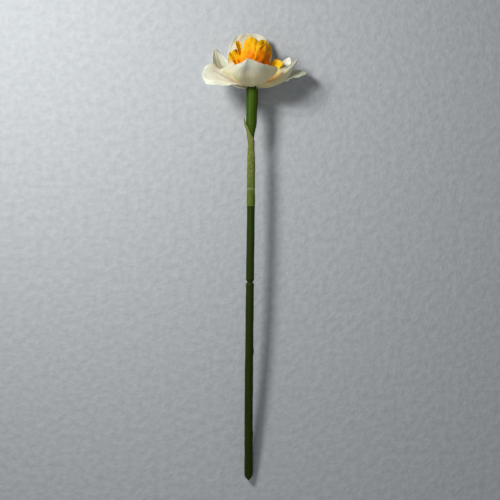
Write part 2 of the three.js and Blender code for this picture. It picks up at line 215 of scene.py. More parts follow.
# Ruffles grow towards the margin by a power and start between two shares of the length. The
# other margin's are shifted in phase. Folds start at a share of the half width.
RUFFLE = {"power": 2.5, "start": 0.1, "end": 0.4, "shift": 1.9}
FOLD_FROM = 0.5

# Fine relief is read as on a blade of one length. Veins and pleats bend with an unevenness and
# keep off the margin by a power. The margin's crinkle grows by another, and starts between two
# shares of the length, as the rest does past the foot.
RELIEF = {
    "length": 40, "vein_bend": 0.8, "vein_size": 20, "pleat_size": 25, "inner_power": 8,
    "edge_power": 6, "edge_start": (0.15, 0.5), "foot": (0.05, 0.3),
}

# Corona: a short cup split into ruffled lobes. The tone runs from deep orange at -1 to yellow at
# 1, partly the lobes' own colour, partly painted shade on lobes in shade and painted light on lit
# ones.
CUP_PROFILE = [
    (0, 6.4), (3.9, 6.4), (6, 7.8), (8.6, 12), (9.6, 16), (8.7, 16.2), (7.7, 12.6), (5.2, 9),
    (3.2, 7.8), (0, 7.8),
]
CUP_SIDES = 72
CORONA_LOBES = {
    "crest": dict(
        rib=[(92, 5.6, 8.3), (90, 14, 15), (90, 15, 31), (92, 7, 41.5)], half=7.5, peak=0.72,
        blunt=0.5, cup=0.1, wave=0.9, waves=3, phase=1, tone_and_shade=0.05,
    ),
    "crest_right": dict(
        rib=[(48, 5.6, 8.3), (48, 12, 16), (46, 15, 28), (42, 14, 38.5)], half=7, peak=0.78,
        blunt=0.7, cup=0.07, twist=(0, 12), wave=1.1, waves=3, phase=0, tone_and_shade=0.4,
    ),
    "front_fold": dict(
        rib=[(74, 5.6, 8.3), (64, 15, 12), (50, 20, 23), (50, 18, 34)], half=9, peak=0.55,
        blunt=0.3, cup=0.05, twist=(0, -12), wave=0.9, waves=2.5, phase=2, tone_and_shade=-0.6,
    ),
    "right_edge": dict(
        rib=[(18, 5.6, 8.3), (18, 14, 14), (20, 16, 26), (23, 16, 36.5)], half=6.5, peak=0.7,
        blunt=0.5, cup=0.1, twist=(0, 10), wave=0.8, waves=2.5, phase=3, tone_and_shade=-0.3,
    ),
    "right_tongue": dict(
        rib=[(10, 5.6, 8.3), (9, 15, 9), (8, 19, 14), (8, 23.5, 23)], half=6.5, peak=0.72,
        blunt=0.6, cup=0.07, twist=(-20, -75), wave=0.8, waves=2.5, phase=1, tone_and_shade=1,
    ),
    "left_fan": dict(
        rib=[(163, 5.6, 8.3), (165, 11, 14), (167, 14, 22), (172, 17.5, 30.5)], half=5.5,
        peak=0.72, blunt=0.5, cup=0.06, twist=(20, 75), wave=1, waves=3, phase=0.5, tone_and_shade=0.5,
    ),
    "spoon": dict(
        rib=[(150, 5.6, 8.3), (146, 11, 18), (150, 12, 30), (158, 13.5, 39)], half=3.1, peak=0.86,
        blunt=0.5, cup=0.16, twist=(0, 85), wave=0.2, waves=2, phase=0, slow=7, tone_and_shade=-0.2,
    ),
    "left_frill": dict(
        rib=[(128, 5.6, 8.3), (128, 12, 13), (130, 13, 21), (134, 11.5, 29)], half=4.6, peak=0.75,
        blunt=0.6, cup=0.08, twist=(0, 12), wave=1, waves=3, phase=2, tone_and_shade=-0.4,
    ),
}
LOBE_SEEDS = 100
CORONA_LENGTH = 40

# Lobes on the far side and in the middle of the corona, set out by rule. Each strays by up to
# half of what LOBE_DRIFT gives: degrees for turn, lean and twist, radians for phase, and
# shares of its size for the rest.
LOBE_RINGS = [
    dict(count=4, start=208, step=38, reach=15.8, height=35, half=6.4),
    dict(count=5, start=20, step=72, reach=8.9, height=30, half=5.6),
    dict(count=3, start=70, step=120, reach=3.8, height=27, half=3.6),
]
LOBE_DRIFT = dict(turn=16, height=0.2, reach=0.48, half=0.2, lean=30, twist=50, phase=6)
LOBE_FOOT = dict(reach=5.6, height=8.3)
LOBE_BEND = dict(low=14, high=0.7)
RULED_LOBE = dict(peak=0.74, blunt=0.6, cup=0.08, wave=1.2, waves=2.8)
RULED_TONE = 0.25
LOBE_DRAWS = {"seed": 11, "factor": 1664525, "step": 1013904223, "size": 2**32}

# Places along the flower where the sheath changes its look
SHEATH_MARKS = {"green": (244, 275), "dry": (275, 300), "ring": (250.2, 251.6, 253.4)}

# The photograph, taken from straight above: its middle, its height above the paper and the
# width of paper in it
VIEW_MIDDLE = (1.75, 200)
VIEW_HEIGHT = 800
VIEW_WIDTH = 438.7
FILM_WIDTH = 36
PAPER_REACH = 4000

# Soft light: a window-like one from the upper left, a broad fill from the lower left and a faint
# sky. A light stands at place and faces aim, a point on the paper.
LIGHTS = {
    "window light": dict(place=(-303, 491, 450), aim=(-40, 360), size=165, watts=2.8),
    "broad fill": dict(place=(-120, -80, 800), aim=(0, 330), size=600, watts=0.9),
}
LIGHT_COLOUR = (0.99, 1.0, 0.985)
SKY_COLOUR = (0.95, 0.97, 1.0)
SKY_STRENGTH = 0.14

# The stalk's farthest end and its widest place say where the cut end of the stem lies in the
# frame
stalk_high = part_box("flower_stalk")[1]
CUT_END = np.array([
    stalk_high[0] / MM - HEAD[0] - NECK_REACH,
    stalk_high[1] / MM - STALK_OUTLINE[-1][0],
    0,
])


def in_frame(points):
    """Points of the flower in millimetres as metres of the frame."""
    return (np.asarray(points, float) + CUT_END) * MM


def smoothstep(low, high, x):
    t = np.clip((x - low) / (high - low), 0, 1)
    return t * t * (3 - 2 * t)


def lerp(a, b, share):
    return a + (b - a) * share


def unit(vectors):
    return vectors / np.linalg.norm(vectors, axis=-1, keepdims=True)


def spread(values):
    """Values shaped so that they scale vectors."""
    return np.asarray(values)[..., None]


def uneven(points, size, seed):
    """Smooth irregular heights, about size apart from rise to rise."""
    draw = np.random.default_rng(seed)
    total = np.zeros(points.shape[:-1])
    for _ in range(UNEVEN["waves"]):
        direction = unit(draw.normal(size=points.shape[-1]))
        pace = TURN / size * draw.uniform(*UNEVEN["pace"])
        total += np.sin(points @ direction * pace + draw.uniform(0, TURN))
    return total / UNEVEN["level"]


def layered(points, layers):
    """Unevenness in layers of height, size and seed."""
    return sum(height * uneven(points, size, seed) for height, size, seed in layers)


def pressed(height, floor, reach):
    """Keeps a height above a floor, with a rounded change over the given reach."""
    overlap = np.maximum(reach - np.abs(height - floor), 0) / reach
    return np.maximum(height, floor) + overlap * overlap * reach / 4


# Meshes

def grid_faces(rows, columns, start=0, closed=False, flipped=False):
    """Quads over a grid of points, row by row. A closed grid's last column meets its first."""
    width = columns if closed else columns + 1
    i, j = np.meshgrid(np.arange(rows), np.arange(columns), indexing="ij")
    a = start + i * width + j
    b = start + i * width + (j + 1) % width
    faces = np.stack([a, b, b + width, a + width], axis=-1).reshape(-1, 4)
    return (faces[:, ::-1] if flipped else faces).tolist()


def ring_faces(low, high, sides, flipped=False):
    """Quads between two rings of points, which start at low and at high."""
    pairs = [(j, (j + 1) % sides) for j in range(sides)]
    faces = [[low + a, low + b, high + b, high + a] for a, b in pairs]
    return [face[::-1] for face in faces] if flipped else faces


def fan_faces(first, sides, middle, flipped=False):
    """Triangles from a ring of points to a point in its middle."""
    faces = [[first + j, first + (j + 1) % sides, middle] for j in range(sides)]
    return [face[::-1] for face in faces] if flipped else faces


def tube_faces(rows, sides, foot):
    """A tube closed at both ends, where its ends' middles are the points foot and the next."""
    faces = grid_faces(rows, sides, closed=True, flipped=True) + fan_faces(0, sides, foot)
    return faces + fan_faces(rows * sides, sides, foot + 1, flipped=True)


def grain_of(across, along, own=0.0):
    """The grain of a grid of points: the place across and along it and a number of its own."""
    return np.stack(np.broadcast_arrays(across, along, own), axis=-1).reshape(-1, 3)


def set_grain(mesh, grain):
    attribute = mesh.attributes.new("grain", "FLOAT_VECTOR", "POINT")
    attribute.data.foreach_set("vector", np.asarray(grain, "f").ravel())


def new_object(name, data):
    made = bpy.data.objects.new(name, data)
    bpy.context.scene.collection.objects.link(made)
    return made


def make_piece(name, points, faces, materials, grain, replaced, material_of=None):
    """A finished piece: points in millimetres, and the grain of each."""
    mesh = bpy.data.meshes.new(name)
    mesh.from_pydata(in_frame(points).tolist(), [], faces)
    set_grain(mesh, grain)
    for material in materials:
        mesh.materials.append(material)
    if material_of is not None:
        mesh.polygons.foreach_set("material_index", material_of)
    mesh.validate()
    dress_piece(name, mesh, replaced)


def dress_piece(name, mesh, replaced):
    """Puts a finished mesh in the scene in place of a plain solid."""
    mesh.shade_smooth()
    piece = new_object(name, mesh)
    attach(piece, "root")
    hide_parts(replaced)


# Stem, stalk and sheath

def middle_line(y):
    x = CUT_ASIDE + sum(by * smoothstep(start, end, y) for start, end, by in LEANS)
    share = np.clip(1 - y / SHEATH_FOOT, 0, 1)
    arch = ARCH_HEIGHT - (ARCH_HEIGHT - CUT_HEIGHT) * share**ARCH_POWER
    dip = (ARCH_HEIGHT - HEAD[2]) * smoothstep(*DIP, y)
    return np.stack(np.broadcast_arrays(x, y, arch - dip), axis=-1)


def round_line(y, radius, angle):
    """Points at a place along the middle line, at a radius and angle round it: 0 to +X."""
    ahead = unit(middle_line(y + 1) - middle_line(y - 1))
    across = unit(np.array([1.0, 0, 0]) - ahead * ahead[..., :1])
    up = np.cross(across, ahead)
    aside = across * spread(radius * np.cos(angle))
    return middle_line(y) + aside + up * spread(radius * np.sin(angle))


def tube_places(places, sides):
    """Grids of place and angle for a tube."""
    angles = TURN * np.arange(sides) / sides
    return np.meshgrid(places, angles, indexing="ij")


def on_tube(y, angle, radius):
    """Places on a plain tube, where the unevenness of a skin is read."""
    return np.stack([y, radius * np.cos(angle), radius * np.sin(angle)], axis=-1)


def stem_radius(y, angle):
    past = np.abs(y - NICK["place"]) / NICK["reach"]
    groove = NICK["depth"] * np.exp(-((past * NICK["sharp"]) ** 2))
    lip = NICK["lip"] * np.exp(-(((past - NICK["lip_place"]) * NICK["lip_sharp"]) ** 2))
    radius = lerp(STEM_RADIUS["cut"], STEM_RADIUS["top"], y / SHEATH_FOOT) * (1 - groove + lip)
    for place, side, height, reach in STEM_BUMPS:
        facing = np.maximum(np.cos(angle - math.radians(side)), 0) ** BUMP_FOCUS
        radius = radius + height * np.exp(-(((y - place) / reach) ** 2)) * facing
    ribs = STEM_RIBS["depth"] * np.cos(STEM_RIBS["count"] * angle + y / STEM_RIBS["turn"])
    return radius + ribs + layered(on_tube(y, angle, SKIN_TUBE), STEM_LAYERS)


def stem_places():
    """Grids of place and angle for the stem's skin, and how far the cut rises at each angle."""
    y, angle = tube_places(np.linspace(0, SHEATH_FOOT, STEM_ROWS + 1), STEM_SIDES)
    side = np.cos(angle)
    rise = np.where(side > 0, CUT_RISE["right"] * side, -CUT_RISE["left"] * side)
    return np.maximum(y, rise + CUT_SQUEEZE * y), angle, rise[0]


def make_stem(skin, tissue):
    """The stem, with a dished face at its slanted cut end."""
    y, angle, rise = stem_places()
    wall = round_line(y, stem_radius(y, angle), angle)
    dish = [
        round_line(rise * share + depth, STEM_RADIUS["cut"] * share, angle[0])
        for share, depth in CUT_FACE
    ]
    ends = middle_line(np.array([CUT_FACE[-1][1], SHEATH_FOOT]))
    points = np.concatenate([wall.reshape(-1, 3), *dish, ends])
    points[:, 2] = np.maximum(points[:, 2], 0)
    faces = grid_faces(STEM_ROWS, STEM_SIDES, closed=True, flipped=True)
    skinned = len(faces)
    top = STEM_ROWS * STEM_SIDES
    dish_start = top + STEM_SIDES
    middle = len(points) - 2
    rings = [0, *range(dish_start, middle, STEM_SIDES)]
    for low, high in zip(rings, rings[1:]):
        faces += ring_faces(low, high, STEM_SIDES)
    faces += fan_faces(rings[-1], STEM_SIDES, middle)
    faces += fan_faces(top, STEM_SIDES, middle + 1, flipped=True)
    grain = np.zeros((len(points), 3))
    grain[:dish_start] = grain_of(angle / TURN, y / SHEATH_FOOT)
    material_of = [0] * skinned + [1] * (len(faces) - skinned)
    make_piece("stem_skin", points, faces, [skin, tissue], grain, "stem", material_of)


def stalk_radius(y, angle):
    swell = NECK_SWELL["by"] * smoothstep(NECK_SWELL["start"], NECK_SWELL["full"], y)
    swell = np.where(y > NECK_SWELL["end"], 0, swell) * np.maximum(np.cos(angle), 0)
    return np.interp(y, *np.transpose(STALK_OUTLINE)) + swell


def make_stalk(skin):
    places = np.linspace(STALK_OUTLINE[0][0], STALK_OUTLINE[-1][0], STALK_ROWS + 1)
    y, angle = tube_places(places, STALK_SIDES)
    radius = sum(stalk_radius(y + d, angle) for d in (-STALK_SOFT, 0, STALK_SOFT)) / 3
    three_sided = THREE_SIDED["by"] * np.cos(3 * angle + THREE_SIDED["turn"])
    three_sided = three_sided * smoothstep(THREE_SIDED["start"], THREE_SIDED["full"], y)
    radius = radius + three_sided + layered(on_tube(y, angle, SKIN_TUBE), STALK_LAYERS)
    wall = round_line(y, radius, angle)
    points = np.concatenate([wall.reshape(-1, 3), middle_line(places[[0, -1]])])
    faces = tube_faces(STALK_ROWS, STALK_SIDES, len(points) - 2)
    grain = np.zeros((len(points), 3))
    grain[:-2] = grain_of(angle / TURN, (y - places[0]) / (places[-1] - places[0]))
    grain[-1] = (0, 1, 0)
    make_piece("stalk_and_neck", points, faces, [skin], grain, "flower_stalk")


def sheath_mouth(angle):
    apart = np.abs(np.degrees(angle) % 360 - MOUTH["tip_angle"])
    return MOUTH["low"] + MOUTH["rise"] * np.exp(-np.minimum(apart, 360 - apart) / MOUTH["narrow"])


def sheath_skin(share, angle, thickness, even_foot=False):
    """Points of the crinkled sheath, by the share of the way from its foot to its mouth."""
    ring = RAGGED_RING * np.stack([np.cos(angle), np.sin(angle)], axis=-1)
    ragged = layered(ring, RAGGED_LAYERS)
    y = SHEATH_FOOT + share * (sheath_mouth(angle) + ragged * share - SHEATH_FOOT)
    places = on_tube(y / CRINKLE_TUBE["shorter"], angle, CRINKLE_TUBE["radius"])
    crinkle = layered(places, CRINKLE_LAYERS)
    if even_foot:
        crinkle = crinkle * smoothstep(0, EVEN_FOOT, share)
    flare = MOUTH_FLARE["by"] * smoothstep(MOUTH_FLARE["start"], MOUTH_FLARE["full"], y)
    stalk = np.interp(y, *np.transpose(STALK_OUTLINE))
    return round_line(y, stalk + SHEATH_PLAY + flare + thickness + crinkle, angle)


def make_sheath(paper):
    """The sheath's two skins, crinkled alike and joined at foot and mouth."""
    shares = np.linspace(0, 1, SHEATH_ROWS + 1) ** SHEATH_CLOSER
    share, angle = tube_places(shares, SHEATH_ROUND)
    outer = sheath_skin(share, angle, SHEATH_WALL)
    inner = sheath_skin(share, angle, SHEATH_INSIDE, even_foot=True)
    points = np.concatenate([outer.reshape(-1, 3), inner.reshape(-1, 3)])
    top = SHEATH_ROWS * SHEATH_ROUND
    inside = top + SHEATH_ROUND
    faces = grid_faces(SHEATH_ROWS, SHEATH_ROUND, closed=True, flipped=True)
    faces += grid_faces(SHEATH_ROWS, SHEATH_ROUND, start=inside, closed=True)
    faces += ring_faces(0, inside, SHEATH_ROUND, flipped=True)
    faces += ring_faces(top, inside + top, SHEATH_ROUND)
    grain = np.tile(grain_of(angle / TURN, share), (2, 1))
    make_piece("sheath_leaf", points, faces, [paper], grain, "sheath")


def rib_tree(paper):
    """Geometry nodes: lines become round ribs that rise, run on and die out."""
    tree = bpy.data.node_groups.new("raised nerves", "GeometryNodeTree")
    sockets = tree.interface
    sockets.new_socket("Lines", in_out="INPUT", socket_type="NodeSocketGeometry")
    radius = sockets.new_socket("Radius", in_out="INPUT", socket_type="NodeSocketFloat")
    sockets.new_socket("Ribs", in_out="OUTPUT", socket_type="NodeSocketGeometry")
    given = tree.nodes.new("NodeGroupInput").outputs
    curves = put(tree, "GeometryNodeMeshToCurve", Mesh=given["Lines"])
    along = put(tree, "GeometryNodeSplineParameter").outputs["Factor"]
    swell = calc(tree, "SINE", calc(tree, "MULTIPLY", along, math.pi))
    swell = calc(tree, "SQRT", calc(tree, "MAXIMUM", swell, NERVES["thin"]))
    size = calc(tree, "MULTIPLY", swell, given["Radius"])
    circle = put(
        tree, "GeometryNodeCurvePrimitiveCircle", Resolution=NERVES["sides"], Radius=1.0,
    )
    sweep = put(
        tree, "GeometryNodeCurveToMesh", Curve=curves.outputs["Curve"],
        Profile_Curve=circle.outputs["Curve"], Scale=size, Fill_Caps=True,
    )
    realize = put(tree, "GeometryNodeRealizeInstances", Geometry=sweep.outputs["Mesh"])
    dressed = put(
        tree, "GeometryNodeSetMaterial", Geometry=realize.outputs["Geometry"], Material=paper,
    )
    put(tree, "NodeGroupOutput", Ribs=dressed.outputs["Geometry"])
    return tree, radius.identifier


def nerve_points():
    """Lines along the sheath's outer skin, a row of points for each nerve."""
    draw = np.random.default_rng(NERVES["seed"])
    count = NERVES["count"]
    scatter = draw.uniform(-NERVES["scatter"], NERVES["scatter"], (count, 1))
    start = TURN * np.arange(count)[:, None] / count + scatter
    stop = NERVES["stop"] * draw.uniform(NERVES["shortest"], 1, (count, 1))
    share = stop * np.linspace(NERVES["first"], 1, NERVES["points"])
    bends = draw.uniform(*NERVES["bends"], (count, 1))
    sway = NERVES["stray"] * np.sin(share * bends + start * NERVES["shift"])
    return sheath_skin(share, start + sway, SHEATH_WALL)


def nerve_carrier():
    """The nerves' lines as an object of edges."""
    points = nerve_points()
    count, length = points.shape[:2]
    firsts = range(0, count * length, length)
    edges = [(first + k, first + k + 1) for first in firsts for k in range(length - 1)]
    lines = bpy.data.meshes.new("nerve lines")
    lines.from_pydata(in_frame(points.reshape(-1, 3)).tolist(), edges, [])
    return new_object("nerve lines", lines)


def make_nerves(paper):
    """The sheath's raised nerves, swept along their lines."""
    carrier = nerve_carrier()
    tree, radius_identifier = rib_tree(paper)
    modifier = carrier.modifiers.new("nerves", "NODES")
    modifier.node_group = tree
    modifier[radius_identifier] = NERVES["radius"] * MM
    bpy.context.view_layer.update()
    whole = carrier.evaluated_get(bpy.context.evaluated_depsgraph_get())
    mesh = bpy.data.meshes.new_from_object(whole)
    bpy.data.objects.remove(carrier)
    mesh.name = "sheath_nerves"
    y = np.array([point.co[1] for point in mesh.vertices]) / MM - CUT_END[1]
    along = (y - SHEATH_FOOT) / (MOUTH["low"] - SHEATH_FOOT)
    set_grain(mesh, grain_of(0.5, along, 1))
    dress_piece("sheath_nerves", mesh, "sheath")


# Blades

def from_flower(place):
    degrees, radius, height = place
    angle = math.radians(degrees)
    return np.array([radius * math.cos(angle), height, radius * math.sin(angle)])


def half_width(spec, claw, t):
    """Rounded off past the widest place, or drawn to a point by the share that point gives."""
    half, peak, blunt = spec["half"], spec["peak"], spec["blunt"]
    growing = np.sin(math.pi / 2 * np.clip(t / peak, 0, 1)) ** spec["slow"]
    past = np.clip((t - peak) / (1 - peak), 0, 1)
    rounded = np.sqrt(1 - (1 - blunt * blunt) * past * past)
    pointed = np.maximum(np.cos(math.pi / 2 * past), blunt * POINT_END)
    ending = half * lerp(rounded, pointed, spec["point"])
    return np.where(t < peak, claw + (half - claw) * growing, ending)


def turned(vectors, axis, angle):
    """Vectors square to an axis, turned about it."""
    return vectors * spread(np.cos(angle)) + np.cross(axis, vectors) * spread(np.sin(angle))


def rib_curve(spec, t):
    """Points of a blade's rib and its directions."""
    a, b, c, d = (from_flower(place) for place in spec["rib"])
    t = spread(t)
    past = 1 - t
    points = past**3 * a + 3 * past**2 * t * b + 3 * past * t**2 * c + t**3 * d
    ahead = past**2 * (b - a) + 2 * past * t * (c - b) + t**2 * (d - c)
    return points, unit(ahead)


def blade_frame(spec, t):
    """A blade's rib, and the directions across the blade and off its face."""
    rib, ahead = rib_curve(spec, t)
    angle = np.radians(lerp(spec["rib"][0][0], spec["rib"][-1][0], t))
    around = np.stack([-np.sin(angle), 0 * angle, np.cos(angle)], axis=-1)
    across = unit(around - ahead * spread((around * ahead).sum(axis=-1)))
    face = np.cross(across, ahead)
    twist = -np.radians(lerp(*spec["twist"], t))
    return rib, turned(across, ahead, twist), turned(face, ahead, twist)


def blade_lift(spec, make, t, u, width):
    """How far a blade stands off its flat form: its cup, ruffles, folds and fine relief."""
    cupped = (1 - np.cos(spec["cup"] * u * width)) / spec["cup"]
    margin = np.abs(u) ** RUFFLE["power"] * smoothstep(RUFFLE["start"], RUFFLE["end"], t)
    beat = TURN * spec["waves"] * t + spec["phase"] + np.where(u > 0, 0, RUFFLE["shift"])
    wave = np.where(u > 0, spec["wave"], spec.get("other_wave", spec["wave"]))
    folded = smoothstep(FOLD_FROM, 1, np.abs(u)) * np.sin(math.pi * t)
    lift = cupped + wave * margin * np.sin(beat) + folded * np.where(u > 0, *spec["fold"])
    return lift + fine_relief(spec, make, t, u, width)


def fine_relief(spec, make, t, u, width):
    """Veins, soft pleats, shallow dents and the margin's crinkle, on top of the blade's form."""
    place = np.stack([u * width, RELIEF["length"] * t], axis=-1)
    seed = spec["seed"]
    share = width / spec["half"]
    vein_bend = RELIEF["vein_bend"] * uneven(place, RELIEF["vein_size"], seed)
    veins = make["vein"] * share * np.cos(make["veins"] * u + vein_bend)
    pleat_bend = seed + uneven(place, RELIEF["pleat_size"], seed + 3)
    pleats = make["pleat"] * share * np.cos(make["pleats"] * u + pleat_bend)
    dents = make["dent"] * uneven(place, make["dent_size"], seed + 1)
    edge = np.abs(u) ** RELIEF["edge_power"] * smoothstep(*RELIEF["edge_start"], t)
    crinkle = make["crinkle"] * edge * uneven(place, make["crinkle_size"], seed + 2)
    inner = (veins + pleats) * (1 - u ** RELIEF["inner_power"]) + dents
    return inner * smoothstep(*RELIEF["foot"], t) + crinkle


def blade_middle(spec, make, t, u):
    """The middle surface of a blade: t runs from foot to tip, u across it from -1 to 1."""
    rib, across, face = blade_frame(spec, t)
    width = half_width(spec, make["claw"], t)
    aside = np.sin(spec["cup"] * u * width) / spec["cup"]
    points = rib + across * spread(aside) + face * spread(blade_lift(spec, make, t, u, width))
    points = points + HEAD
    points[..., 2] = pressed(points[..., 2], make["thick"] / 2, PRESS_REACH)
    return points


def blade_grid(spec, make):
    """Grids of t and u, with rows closer together at the tip, where the corners are drawn back."""
    share = 2 * np.arange(make["rows"] + 1) / make["rows"]
    peak = spec["peak"]
    past = peak + (1 - peak) * np.sin(math.pi / 2 * (share - 1))
    along = np.where(share < 1, peak * share, past)
    t, u = np.meshgrid(along, np.linspace(-1, 1, make["columns"] + 1), indexing="ij")
    return t - make["round"] * u ** CORNERS["power"] * smoothstep(CORNERS["start"], 1, t), u


def blade_skins(spec, make):
    """Both skins of a blade, half its thickness to each side of its middle surface."""
    t, u = blade_grid(spec, make)

    def at(dt, du):
        return blade_middle(spec, make, np.clip(t + dt, 0, 1), np.clip(u + du, -1, 1))

    across = at(0, NORMAL_STEP) - at(0, -NORMAL_STEP)
    along = at(NORMAL_STEP, 0) - at(-NORMAL_STEP, 0)
    normal = unit(np.cross(across, along))
    half_thick = make["thick"] / 2 * lerp(make["body"], make["rim"], np.abs(u) ** RIM_POWER)
    middle = at(0, 0)
    skins = np.stack([middle + side * normal * spread(half_thick) for side in (1, -1)])
    skins[..., 2] = np.maximum(skins[..., 2], 0)
    return skins, grain_of(u, t, spec["tone_and_shade"])


def rim_points(rows, columns):
    """The points round the margin of a grid, in order."""
    width = columns + 1
    last = rows * width + columns
    return [
        *range(columns), *range(columns, last, width), *range(last, last - columns, -1),
        *range(rows * width, 0, -width),
    ]


def blade_shell(spec, make, seed):
    """A blade as a closed shell: its points, its faces and its points' grain."""
    skins, grain = blade_skins({**BLADE_PLAIN, **spec, "seed": seed}, make)
    rows, columns = make["rows"], make["columns"]
    under = (rows + 1) * (columns + 1)
    faces = grid_faces(rows, columns) + grid_faces(rows, columns, start=under, flipped=True)
    rim = rim_points(rows, columns)
    for here, following in zip(rim, rim[1:] + rim[:1]):
        faces.append([here, here + under, following + under, following])
    return skins.reshape(-1, 3), faces, np.tile(grain, (2, 1))


def make_tepals(petal):
    shells = {
        name: blade_shell(spec, TEPAL_MAKE, TEPAL_SEEDS * index)
        for index, (name, spec) in enumerate(TEPALS.items())
    }
    shells["inner_tepal"] = blade_shell(INNER_TEPAL, INNER_MAKE, INNER_SEED)
    for name, (points, faces, grain) in shells.items():
        make_piece(name + "_petal", points, faces, [petal], grain, name)


# Corona

def seeded(seed):
    """The same run of draws from 0 to 1 as the solids use."""
    state = seed
    while True:
        state = (state * LOBE_DRAWS["factor"] + LOBE_DRAWS["step"]) % LOBE_DRAWS["size"]
        yield state / LOBE_DRAWS["size"]


def ruled_lobe(ring, i, drift):
    """The specification of one lobe of a ring. drift draws how far it strays."""
    angle = ring["start"] + ring["step"] * i + drift("turn")
    top = ring["height"] * (1 + drift("height"))
    out = ring["reach"] * (1 + drift("reach"))
    foot = (angle, min(LOBE_FOOT["reach"], ring["reach"]), LOBE_FOOT["height"])
    low, high = (angle, out, LOBE_BEND["low"]), (angle, out, top * LOBE_BEND["high"])
    tip = (angle + drift("lean"), out, top)
    half = ring["half"] * (1 + drift("half"))
    twist = (0, drift("twist"))
    tone_and_shade = RULED_TONE * (-1) ** i
    rib = [foot, low, high, tip]
    return dict(RULED_LOBE, rib=rib, half=half, twist=twist, phase=drift("phase"), tone_and_shade=tone_and_shade)


def ruled_lobes():
    draws = seeded(LOBE_DRAWS["seed"])

    def drift(name):
        return LOBE_DRIFT[name] * (next(draws) - 0.5)

    return [ruled_lobe(ring, i, drift) for ring in LOBE_RINGS for i in range(ring["count"])]


def cup_shell():
    """The cup that the lobes grow from, turned about the flower's axis."""
    profile = np.array(CUP_PROFILE[1:-1], float)
    ring, angle = tube_places(np.arange(len(profile)), CUP_SIDES)
    radius, height = profile[ring].transpose(2, 0, 1)
    wall = np.stack([radius * np.cos(angle), height, radius * np.sin(angle)], axis=-1)
    ends = np.array([[0, CUP_PROFILE[0][1], 0], [0, CUP_PROFILE[-1][1], 0]])
    points = np.concatenate([wall.reshape(-1, 3), ends])
    faces = tube_faces(len(profile) - 1, CUP_SIDES, len(points) - 2)
    along = (points[:, 1] - CUP_PROFILE[0][1]) / CORONA_LENGTH
    return points + HEAD, faces, grain_of(0.0, along)


def make_corona(ruffle):
    """The cup and its lobes, sunk in one another, as one piece."""
    shells = [cup_shell()]
    for index, spec in enumerate([*CORONA_LOBES.values(), *ruled_lobes()]):
        shells.append(blade_shell(spec, LOBE_MAKE, LOBE_SEEDS + index))
    faces, count = [], 0
    for shell_points, shell_faces, _ in shells:
        faces += [[corner + count for corner in face] for face in shell_faces]
        count += len(shell_points)
    points = np.concatenate([shell[0] for shell in shells])
    grain = np.concatenate([shell[2] for shell in shells])
    make_piece("corona_lobes", points, faces, [ruffle], grain, "corona")


# Shader groups

def new_group(name, **inputs):
    """A shader group with named inputs and their defaults, which makes a Mask."""
    group = bpy.data.node_groups.new(name, "ShaderNodeTree")
    for label, default in inputs.items():
        kind = "NodeSocketVector" if isinstance(default, tuple) else "NodeSocketFloat"
        socket = group.interface.new_socket(label, in_out="INPUT", socket_type=kind)
        socket.default_value = default
    group.interface.new_socket("Mask", in_out="OUTPUT", socket_type="NodeSocketFloat")
    return group, group.nodes.new("NodeGroupInput").outputs


def feed(tree, socket, value):
    """Gives an input a value or another node's output."""
    if isinstance(value, bpy.types.NodeSocket):
        tree.links.new(value, socket)
    else:
        socket.default_value = value


def put(tree, kind, settings=None, **inputs):
    """A node with its settings, and its inputs by name, or by number where _ stands before it."""
    node = tree.nodes.new(kind)
    for name, value in (settings or {}).items():
        setattr(node, name, value)
    for name, value in inputs.items():
        socket = node.inputs[int(name[1:]) if name[0] == "_" else name.replace("_", " ")]
        feed(tree, socket, value)
    return node


def calc(tree, operation, *values):
    node = put(tree, "ShaderNodeMath", {"operation": operation})
    for socket, value in zip(node.inputs, values):
        feed(tree, socket, value)
    return node.outputs[0]


def blend_colours(tree, share, first, second):
    """The first colour where share is 0, the second where it is 1. A Mix node takes its colours
    in inputs 6 and 7 and gives the blend in output 2."""
    first, second = (
        (*colour, 1) if isinstance(colour, tuple) else colour for colour in (first, second)
    )
    node = put(tree, "ShaderNodeMix", {"data_type": "RGBA"}, _0=share, _6=first, _7=second)
    return node.outputs[2]


def end_group(group, noise, contrast):
    """Gives a group's Mask: the noise, with its contrast raised about the middle."""
    centred = calc(group, "SUBTRACT", noise.outputs["Fac"], 0.5)
    wide = calc(group, "MULTIPLY", centred, contrast)
    raised = put(
        group, "ShaderNodeMath", {"operation": "ADD", "use_clamp": True}, _0=wide, _1=0.5,
    )
    put(group, "NodeGroupOutput", Mask=raised.outputs[0])


def streaks_group():
    """Streaks that follow the grain of a leaf or petal from its foot to its tip."""
    group, given = new_group(
        "streaks along the grain", Grain=(0, 0, 0), Across=30, Along=2, Contrast=1,
    )
    scale = put(group, "ShaderNodeCombineXYZ", X=given["Across"], Y=given["Along"], Z=3.7)
    place = put(
        group, "ShaderNodeVectorMath", {"operation": "MULTIPLY"}, _0=given["Grain"],
        _1=scale.outputs[0],
    )
    noise = put(
        group, "ShaderNodeTexNoise", Vector=place.outputs[0], Scale=1.0, Detail=4.0,
        Roughness=0.6, Distortion=0.3,
    )
    end_group(group, noise, given["Contrast"])
    return group


def mottle_group():
    """Soft patches of a size given in millimetres, placed by Object coordinates."""
    group, given = new_group("soft mottle", Size=5, Contrast=1)
    place = put(group, "ShaderNodeTexCoord").outputs["Object"]
    scale = calc(group, "DIVIDE", 1 / MM, given["Size"])
    noise = put(group, "ShaderNodeTexNoise", Vector=place, Scale=scale, Detail=5.0, Roughness=0.55)
    end_group(group, noise, given["Contrast"])
    return group


STREAKS = streaks_group()
MOTTLE = mottle_group()


